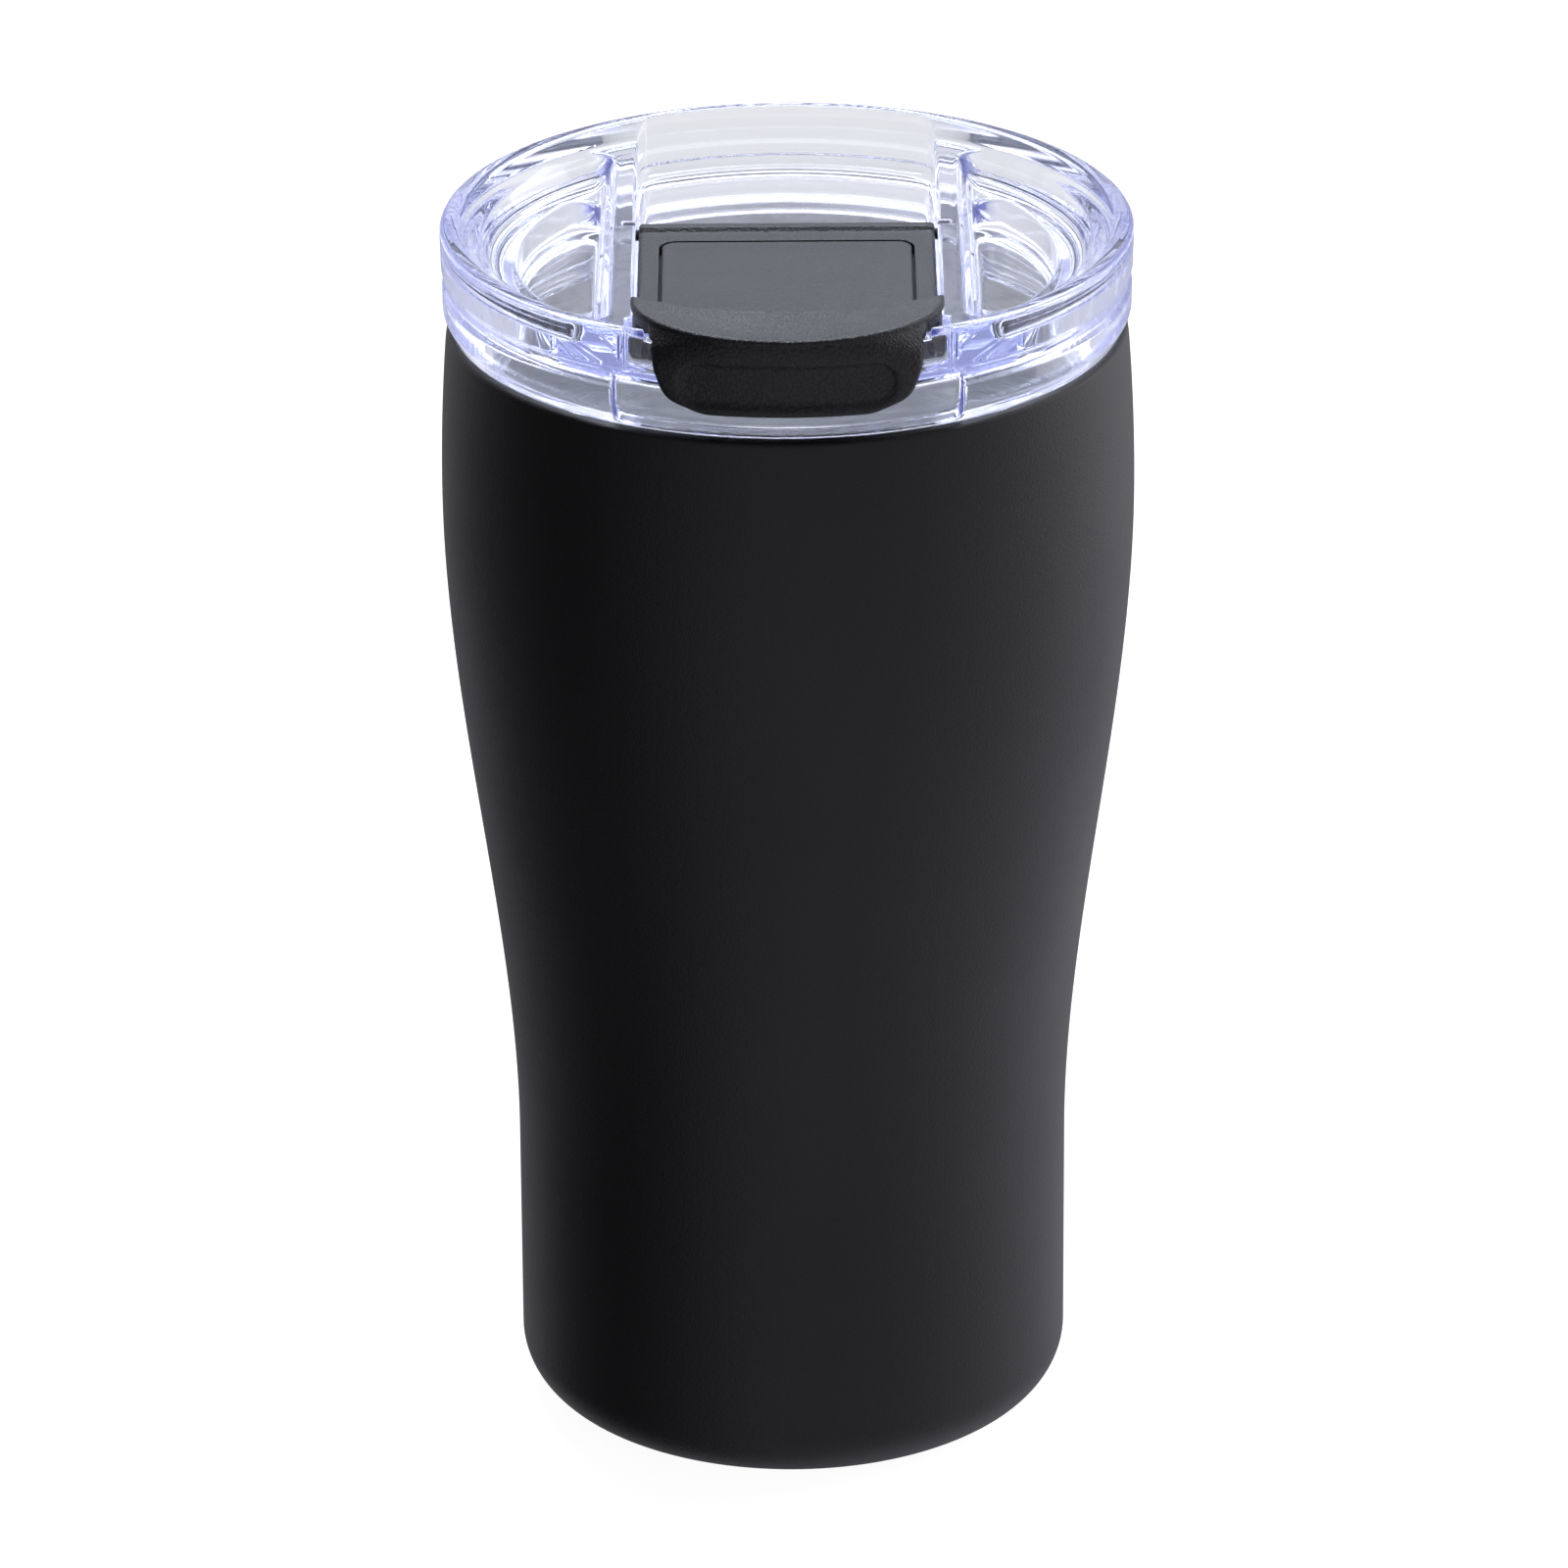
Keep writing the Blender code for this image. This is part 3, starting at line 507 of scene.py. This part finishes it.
def liner_outline():
    corner_z = LINER_FLOOR_Z + LINER_CORNER
    corner_r = liner_radius(corner_z) - LINER_CORNER
    heights = list(np.linspace(STRAIGHT_TOP, LINER_TOP, 60))
    inside = [(0.0, LINER_FLOOR_Z)]
    inside += arc(corner_r, corner_z, LINER_CORNER, -90, 0, 12)
    inside += [(liner_radius(z), z) for z in heights]
    top = [(MOUTH_R, LIP_Z - 0.4), (MOUTH_R + 0.12, LIP_Z - 0.12), (MOUTH_R + 0.4, LIP_Z),
           (MOUTH_R + SHEET, LIP_Z)]
    outside = [(liner_radius(z) + SHEET, z) for z in reversed(heights)]
    outside += arc(corner_r, corner_z, LINER_CORNER + SHEET, 0, -90, 12)
    return inside + top + outside + [(0.0, LINER_FLOOR_Z - SHEET)]


def base_cap_outline():
    middle_r = BASE_R - BASE_FILLET
    rim = SEAT_R - SEAM
    edge = math.degrees(math.asin((rim - middle_r) / BASE_FILLET)) - 90.0
    under = [(0.0, REST_RECESS), (REST_R - 2.2, REST_RECESS), (REST_R - 1.4, REST_RECESS - 0.15),
             (REST_R - 0.6, 0.15), (REST_R, 0.0)]
    under += arc(middle_r, BASE_FILLET, BASE_FILLET, -90, edge, 8)
    above = [(rim - 0.3, 1.55), (rim - 0.9, 1.7), (REST_R, 1.2), (0.0, REST_RECESS + SHEET)]
    return under + above


def gasket_outline():
    low, high = GROOVE_LOW + 0.15, GROOVE_HIGH - 0.15
    root, waist, lips = GROOVE_R + 0.15, PLUG_R - 0.1, MOUTH_R - 0.3
    middle = (low + high) / 2.0
    corners = [(root, low, 0.0), (waist, low, 0.1), (lips, low + 0.35, 0.1), (lips, low + 0.75, 0.12),
               (waist, middle, 0.2), (lips, high - 0.75, 0.12), (lips, high - 0.35, 0.1),
               (waist, high, 0.1), (root, high, 0.0)]
    return rounded(corners, steps=4)


# ---------------------------------------------------------------- lid

LID_SECTION = Section(rounded([
    (-2.0, WALL_TOP, 0.0),
    (LEDGE_R, WALL_TOP, 0.5),
    (41.9, 163.05, 0.8),
    (42.5, LID_TOP, 0.5),
    (LID_R, LID_TOP, 0.75),
    (LID_R - 0.1, 157.9, 0.3),
    (WAIST_R, WAIST_HIGH, 0.25),
    (WAIST_R, WAIST_LOW, 0.25),
    (43.98, 155.3, 0.3),
    (43.95, 152.2, 1.6),
    (42.9, FLANGE_Z, 0.5),
    (PLUG_R, FLANGE_Z, 0.4),
    (PLUG_R, GROOVE_HIGH, 0.12),
    (GROOVE_R, GROOVE_HIGH, 0.12),
    (GROOVE_R, GROOVE_LOW, 0.12),
    (PLUG_R - 0.1, GROOVE_LOW, 0.12),
    (PLUG_R - 0.3, PLUG_END + 0.4, 0.3),
    (PLUG_R - 1.0, PLUG_END, 0.35),
    (37.4, PLUG_END, 0.3),
    (37.0, UNDER_Z, 1.2),
    (-2.0, UNDER_Z, 0.0),
]))


def pocket_plan(wide, y, straight, radius, corner):
    """Distance in plan to the D of a side pocket: a straight edge, an arc and rounded tips."""
    inner_x, inner_r = straight + corner, radius - corner
    tip_y = math.sqrt(inner_r * inner_r - inner_x * inner_x)
    depth = np.abs(y)
    field = np.maximum(inner_x - wide, np.hypot(wide, depth) - inner_r)
    past = (depth > tip_y) & (depth * inner_x > wide * tip_y)
    return np.where(past, np.hypot(wide - inner_x, depth - tip_y), field) - corner


def slot_plan(x, y, half_length, half_width):
    """Distance in plan to a slot along X with round ends."""
    return np.hypot(np.maximum(np.abs(x) - (half_length - half_width), 0.0), y) - half_width


def crest_plan(x, y, grow=0.0):
    """Distance in plan to the ellipse that the crest's front edge follows; grow widens it."""
    a, b = CREST_HALF + grow, CREST_REACH + grow
    u, v = x / a, (y - CREST_MID_Y) / b
    scaled = np.sqrt(u * u + v * v + TINY)
    steep = np.sqrt((u / a) ** 2 + (v / b) ** 2 + TINY)
    return np.where(y < CREST_MID_Y, scaled * (scaled - 1.0) / steep, np.abs(x) - a)


def lid_field(x, y, z):
    """The lid: its turned section with tubs added, then the recesses, holes and sockets cut out."""
    wide = np.abs(x)
    r = np.sqrt(x * x + y * y)
    body = LID_SECTION(r, z)

    tub = pocket_plan(wide, y, POCKET_X - POCKET_SHEET, POCKET_R + POCKET_SHEET, TUB_CORNER)
    tub = both(tub, slab(z, POCKET_Z - POCKET_SHEET, UNDER_Z + 1.5), 1.6)
    body = either(body, tub, 0.8)

    lean = math.cos(math.atan(DRAFT))
    side = (pocket_plan(wide, y, WALL_OUT, LEDGE_R - 0.1, SIDE_CORNER) + DRAFT * (WALL_TOP - z)) * lean
    body = less(body, both(both(side, DECK_Z - z, 1.0), z - (LID_TOP + OVER)), 0.45)

    ridge = slot_plan(y, wide - (POCKET_X - 0.45), POCKET_LIP_HALF, POCKET_LIP)
    body = either(body, both(ridge, slab(z, DECK_Z - 1.0, DECK_Z + 0.65), 0.35), 0.25)

    pocket = both(pocket_plan(wide, y, POCKET_X, POCKET_R, POCKET_CORNER), POCKET_Z - z, 1.3)
    body = less(body, pocket, 0.35)

    rear = (r - CHANNEL_REAR_R - DRAFT * (z - CHANNEL_Z)) * lean
    channel = both(wide - CHANNEL_HALF, np.where(y > 0.0, rear, r - FLOOR_R), 2.4)
    channel = both(channel, CHANNEL_Z - z, 1.4)
    body = less(body, both(channel, z - (LID_TOP + OVER)), 0.3)

    inboard = both(both(wide - (CREST_HALF + SLIT), RIDGE_R - SLIT - r, 0.5), r - (INBOARD_R + SLIT), 0.5)
    inboard = both(both(inboard, y), PLATE_UNDER - GAP - z, 0.3)
    body = less(body, inboard, 0.25)

    notch = both(crest_plan(x, y, 0.5), wide - (CREST_HALF + SLIT), 0.4)
    neck = both(wide - (TAB_HALF + SLIT), y - NECK_Y, 0.4)
    notch = both(both(np.minimum(notch, neck), y - FRONT_SIDE), RIDGE_R - 0.5 - r, 0.3)
    body = less(body, both(notch, BRIDGE_UNDER - GAP - z, 0.3), 0.3)

    upper = both(both(wide - RECESS_HALF, slab(z, RECESS_Z, LID_TOP + OVER), 0.6), RECESS_R - r, 0.35)
    lower = both(wide - STEP_HALF, slab(z, STEP_Z, STEP_TOP), 1.6)
    lower = both(lower, STEP_R - r, 0.8)
    body = less(body, both(either(upper, lower, 0.3), y), 0.3)

    through = slab(z, UNDER_Z - OVER, CHANNEL_Z + OVER)
    body = less(body, both(slot_plan(x, y - SPOUT_Y, SPOUT_HALF, SPOUT_DEPTH), through), 0.5)
    body = less(body, both(np.hypot(x, y - VENT_Y) - VENT_R, through), 0.3)
    socket = both(np.hypot(y - HINGE_Y, z - HINGE_Z) - SOCKET_R, wide - SOCKET_END, 0.2)
    return less(body, socket, 0.15)


# ---------------------------------------------------------------- flap

PLATE_SECTION = Section(rounded([
    (-40.0, PLATE_UNDER, 0.0),
    (-40.0, PLATE_TOP, 0.0),
    (4.0, PLATE_TOP, 0.5),
    (4.7, RIDGE_TOP, 0.5),
    (7.1, RIDGE_TOP, 1.4),
    (7.2, HINGE_Z - BARREL_R, 1.55),
    (4.6, HINGE_Z - BARREL_R, 0.7),
    (3.7, PLATE_UNDER, 0.6),
]), step=0.06, margin=2.0)

TAB_SECTION = Section(rounded([
    (-4.0, TAB_END, 0.0),
    (10.6, TAB_END, 6.0),
    (15.4, 155.5, 3.4),
    (16.7, 159.2, 5.0),
    (17.35, 163.5, 0.0),
    (17.35, 168.0, 0.0),
    (-4.0, 168.0, 0.0),
]), step=0.08)


def crest_height(x, y):
    """Top of the crest: level along its rear edge, a shallow hollow, then lower to the front."""
    fullness = np.sqrt(np.maximum(0.0, 1.0 - (x / CREST_HALF) ** 2))
    rear = -np.sqrt(np.maximum(RIDGE_R ** 2 - x * x, 1.0))
    front = CREST_MID_Y - CREST_REACH * fullness
    ahead = np.clip((rear - y) / np.maximum(rear - front, 0.5), 0.0, 1.0)
    hollow = CREST_HOLLOW * np.sin(math.pi * ahead) * fullness
    return CREST_TOP - CREST_DROP * fullness * ahead - hollow


def panel_plan(wide, y, grow=0.0):
    """Distance in plan to the panel: a rounded rectangle whose front edge is an arc."""
    corner = PANEL_CORNER + grow
    u = wide - (PANEL_HALF + grow - corner)
    v = y - (PANEL_REAR + grow - corner)
    box = np.hypot(np.maximum(u, 0.0), np.maximum(v, 0.0)) + np.minimum(np.maximum(u, v), 0.0) - corner
    return both(box, np.hypot(wide, y) - (PANEL_FRONT_R + grow))


def flap_field(x, y, z):
    """The flap: plate and trunnions, then crest, then the tab, with the panel's seat cut out."""
    wide = np.abs(x)
    r = np.sqrt(x * x + y * y)
    ellipse = crest_plan(x, y)
    top = crest_height(x, y)
    plate = both(both(PLATE_SECTION(y, z), wide - FLAP_HALF, 0.7), r - (RIDGE_R + 0.5))
    pins = both(np.hypot(y - HINGE_Y, z - HINGE_Z) - TRUNNION_R, wide - (SOCKET_END - GAP), 0.2)
    body = either(plate, pins)

    ends = both(wide - CREST_HALF, y - FRONT_SIDE)
    cap = both(both(ellipse, CREST_LOW - z), z - top, 0.7)
    cap = both(both(cap, RIDGE_R - r, 0.2), ends, 0.15)
    under_cap = both(both(ellipse + 0.3, RIDGE_R - r, 0.2), ends, 0.15)
    inboard = both(both(under_cap, r - INBOARD_R), slab(z, PLATE_UNDER + 0.1, BODY_TOP), 0.3)
    over = both(under_cap, slab(z, BRIDGE_UNDER, BODY_TOP), 0.3)
    crest = either(cap, np.minimum(inboard, over))

    roof = (z - (ROOF_Z - ROOF_SLOPE * np.maximum(ellipse, 0.0))) * ROOF_LEAN
    face = both(r - TAB_OUT, roof, 1.4)
    leaf = both(both(TAB_SECTION(wide, z), y - FRONT_SIDE), face, 0.7)
    leaf = both(leaf, either(TAB_IN - r, BRIDGE_UNDER - z, 0.3), 0.3)
    leaf = both(leaf, INBOARD_R - 0.4 - r)
    body = either(either(body, crest), leaf, 0.12)

    seat = both(panel_plan(wide, y, 0.32), PANEL_UNDER - 0.3 - z)
    body = less(body, seat, 0.18)
    middle = (THUMB_LOW + THUMB_HIGH) / 2.0
    radius = (THUMB_HIGH - THUMB_LOW) / 2.0
    thumb = slot_plan(x, z - middle, THUMB_HALF, radius)
    thumb = both(both(thumb, TAB_OUT - THUMB_DEPTH - r, 1.2), y - FRONT_SIDE)
    return less(body, thumb, 0.6)


def panel_field(x, y, z):
    wide = np.abs(x)
    plate = both(panel_plan(wide, y), slab(z, PANEL_UNDER, PLATE_TOP), 0.25)
    stem = both(np.hypot(wide - STEM_X, y - SPOUT_Y) - STEM_R, slab(z, STEM_LOW, PANEL_UNDER + 0.3), 0.3)
    return np.minimum(plate, stem)


def seal_field(x, y, z):
    wide = np.abs(x)
    across = y - SPOUT_Y
    flange = both(slot_plan(x, across, SPOUT_HALF + SEAL_FLANGE, SPOUT_DEPTH + SEAL_FLANGE),
                  slab(z, SEAL_MID, SEAL_TOP), 0.35)
    plug = both(slot_plan(x, across, SPOUT_HALF - GAP, SPOUT_DEPTH - GAP),
                slab(z, SEAL_LOW, SEAL_MID + 0.5), 0.8)
    edge = np.abs(slot_plan(x, across, SPOUT_HALF - 0.6, SPOUT_DEPTH - 0.6)) - 0.35
    lip = both(edge, slab(z, SEAL_LOW + 0.15, SEAL_LOW + 0.95), 0.3)
    body = either(either(flange, plug, 0.3), lip, 0.2)
    stems = both(np.hypot(wide - STEM_X, across) - (STEM_R + 0.12), STEM_LOW - 0.15 - z, 0.1)
    return less(body, stems, 0.2)


# ---------------------------------------------------------------- build

def build_vessel():
    add_piece("powder_coated_shell", turned("shell", shell_outline()),
              powder_coat("black_powder_coat"), "vessel", "powder_coat", "outer_shell", sharp=40)
    add_piece("steel_liner", turned("liner", liner_outline()),
              brushed_steel("brushed_liner_steel", (0.95, 0.96, 0.97)),
              "vessel", "steel", "inner_liner", sharp=40)
    add_piece("base_disc", turned("base", base_cap_outline()),
              powder_coat("black_base_coat", 0.9), "vessel", "base_coat", "base_cap", sharp=40)
    hidden = {
        "mid_bottom": brushed_steel("bottom_steel", (0.52, 0.52, 0.51), 0.5),
        "vacuum_getter": sintered("getter_metal", (0.28, 0.27, 0.27)),
        "port_seal": sintered("solder_glass", (0.16, 0.17, 0.19)),
    }
    for node, finish in hidden.items():
        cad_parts[node].material_slots[0].material = finish


def build_lid():
    add_piece("clear_lid", moulded("lid", lid_field, (-45.2, -45.2, 142.6), (45.2, 45.2, 164.2), LID_STEP),
              clear_plastic("clear_copolyester"), "lid", "clear_lid", "lid_body")
    add_piece("silicone_gasket", turned("gasket", gasket_outline()),
              silicone("clear_silicone", (0.86, 0.87, 0.9), 0.55, 0.42),
              "lid", "clear_silicone", "lid_gasket", sharp=50)


def build_flap():
    body_black = moulded_black("black_moulding", (0.012, 0.0125, 0.0145))
    panel_black = moulded_black("black_panel_moulding", (0.013, 0.0135, 0.0155))
    rubber = silicone("black_silicone", (0.030, 0.030, 0.032), 0.0, 0.6)
    add_piece("flap_lever", moulded("flap", flap_field, (-21.6, -46.4, 152.8), (21.6, 8.2, 165.6), FLAP_STEP),
              body_black, "flap", "flap_black", "flap_body", sharp=50)
    add_piece("inset_panel", moulded("panel", panel_field, (-17, -37, 155), (17, 1.6, 161), FLAP_STEP),
              panel_black, "flap", "panel_black", "flap_panel", sharp=50)
    seal = moulded("seal", seal_field, (-13.6, -36.2, 154.2), (13.6, -22.8, 158.4), FLAP_STEP)
    add_piece("spout_seal", seal,
              rubber, "flap", "seal_black", "flap_seal", sharp=50)


# ---------------------------------------------------------------- stage, light and camera

# Brightness of the studio by azimuth in degrees: 0 beside the camera, 90 on the mug's right
STUDIO = ((-180, 0.30), (-162, 0.40), (-148, 0.62), (-120, 0.15), (-90, 0.04), (-60, 0.05), (-32, 0.27),
          (-8, 0.62), (14, 0.41), (35, 0.37), (60, 0.50), (85, 0.70), (110, 0.85), (145, 0.95),
          (165, 0.40), (180, 0.30))
FLOOR_HALF = 4.0           # half width of the floor, in metres
MUG_MIDDLE = 0.09          # height that the lights face, in metres
BOUNCES = 40               # enough to pass through all the walls of the clear lid


def build_stage():
    mesh = bpy.data.meshes.new("floor")
    corners = [(u * FLOOR_HALF, v * FLOOR_HALF, 0.0) for u, v in ((-1, -1), (1, -1), (1, 1), (-1, 1))]
    mesh.from_pydata(corners, [], [(0, 1, 2, 3)])
    floor = bpy.data.objects.new("floor", mesh)
    bpy.context.scene.collection.objects.link(floor)
    pale = Finish("pale_floor", Roughness=0.9, Emission_Strength=0.95)
    pale.shader.inputs["Base Color"].default_value = (0.30, 0.30, 0.30, 1.0)
    pale.shader.inputs["Emission Color"].default_value = (1.0, 1.0, 1.0, 1.0)
    mesh.materials.append(pale.material)
    floor.visible_glossy = False
    floor.visible_diffuse = False
    floor.visible_transmission = False


def build_sky():
    """White to the camera and through the clear plastic. Matt and glossy surfaces see a studio
    that is darkest on the left, has a soft glow beside the camera, and is bright behind."""
    world = bpy.data.worlds.new("studio")
    bpy.context.scene.world = world
    world.use_nodes = True
    nodes, links = world.node_tree.nodes, world.node_tree.links
    nodes.clear()
    out = nodes.new("ShaderNodeOutputWorld")
    ray = nodes.new("ShaderNodeLightPath")
    where = nodes.new("ShaderNodeTexCoord")
    split = nodes.new("ShaderNodeSeparateXYZ")
    links.new(where.outputs["Generated"], split.inputs["Vector"])

    def maths(operation, *values):
        made = nodes.new("ShaderNodeMath")
        made.operation = operation
        for socket, value in zip(made.inputs, values):
            if isinstance(value, (int, float)):
                socket.default_value = value
            else:
                links.new(value, socket)
        return made.outputs["Value"]

    def background(strength, colour=(1.0, 1.0, 1.0)):
        made = nodes.new("ShaderNodeBackground")
        made.inputs["Color"].default_value = (*colour, 1.0)
        if isinstance(strength, float):
            made.inputs["Strength"].default_value = strength
        else:
            links.new(strength, made.inputs["Strength"])
        return made.outputs["Background"]

    def mixed(factor, one, two):
        made = nodes.new("ShaderNodeMixShader")
        links.new(factor, made.inputs[0])
        links.new(one, made.inputs[1])
        links.new(two, made.inputs[2])
        return made.outputs["Shader"]

    azimuth = maths("ARCTAN2", split.outputs["X"], maths("MULTIPLY", split.outputs["Y"], -1.0))
    ramp = nodes.new("ShaderNodeValToRGB")
    ramp.color_ramp.interpolation = "EASE"
    while len(ramp.color_ramp.elements) < len(STUDIO):
        ramp.color_ramp.elements.new(0.5)
    for element, (degrees, level) in zip(ramp.color_ramp.elements, STUDIO):
        element.position = (degrees + 180.0) / 360.0
        element.color = (level, level, level, 1.0)
    links.new(maths("MULTIPLY_ADD", azimuth, 0.5 / math.pi, 0.5), ramp.inputs["Fac"])
    overhead = maths("MAXIMUM", split.outputs["Z"], 0.0)
    fading = maths("MULTIPLY_ADD", overhead, -0.75, 1.0)
    lighting = background(maths("MULTIPLY", ramp.outputs["Color"], fading), (0.98, 0.96, 1.07))
    rearward = maths("MULTIPLY_ADD", split.outputs["Y"], 0.05, 0.83)
    clear_light = maths("MULTIPLY_ADD", maths("POWER", overhead, 2.0), 2.6, rearward)
    seen_through = background(clear_light, (0.98, 0.99, 1.01))
    glints = background(maths("MULTIPLY_ADD", split.outputs["Y"], 0.15, 0.45), (0.84, 0.87, 1.1))
    reflected = mixed(ray.outputs["Is Singular Ray"], lighting, glints)
    through = mixed(ray.outputs["Is Transmission Ray"], reflected, seen_through)
    links.new(mixed(ray.outputs["Is Camera Ray"], through, background(1.0)), out.inputs["Surface"])


def softbox(name, azimuth, elevation, distance, width, height, power, colour=(1.0, 1.0, 1.0)):
    """A soft light that faces the mug's middle. Azimuth 0 is the camera's side, 90 the right."""
    target = Vector((0.0, 0.0, MUG_MIDDLE))
    a, e = math.radians(azimuth), math.radians(elevation)
    away = Vector((math.sin(a) * math.cos(e), -math.cos(a) * math.cos(e), math.sin(e)))
    light = bpy.data.lights.new(name, "AREA")
    light.shape = "RECTANGLE"
    light.size, light.size_y = width, height
    light.energy = power
    light.color = colour
    lamp = bpy.data.objects.new(name, light)
    lamp.location = target + away * distance
    lamp.rotation_euler = (-away).to_track_quat("-Z", "Y").to_euler()
    lamp.visible_camera = False
    bpy.context.scene.collection.objects.link(lamp)


def build_lights():
    softbox("right_softbox", 112, 18, 0.9, 0.5, 1.0, 3.0)
    softbox("left_softbox", -140, 15, 1.0, 0.4, 0.9, 0.8)
    softbox("top_softbox", 176, 50, 0.9, 0.7, 0.4, 6.0, (0.92, 0.98, 1.12))


CAMERA_PLACE = (-0.00079, -1.2, 0.61336)   # in metres
CAMERA_PITCH, CAMERA_ROLL = 66.225, -0.363  # in degrees; a pitch of 90 looks level


def build_camera():
    made = bpy.data.cameras.new("camera")
    made.sensor_width = 36.0
    made.lens = 231.0
    made.clip_end = 20.0
    camera = bpy.data.objects.new("camera", made)
    pitch = Euler((math.radians(CAMERA_PITCH), 0.0, 0.0)).to_matrix()
    roll = Matrix.Rotation(math.radians(CAMERA_ROLL), 3, "Z")
    camera.matrix_world = Matrix.Translation(CAMERA_PLACE) @ (pitch @ roll).to_4x4()
    bpy.context.scene.collection.objects.link(camera)
    bpy.context.scene.camera = camera


build_vessel()
build_lid()
build_flap()
build_stage()
build_sky()
build_lights()
build_camera()
bpy.context.scene.view_settings.view_transform = "Standard"
bpy.context.scene.cycles.use_denoising = True
bpy.context.scene.cycles.max_bounces = BOUNCES
bpy.context.scene.cycles.glossy_bounces = BOUNCES
bpy.context.scene.cycles.transmission_bounces = BOUNCES
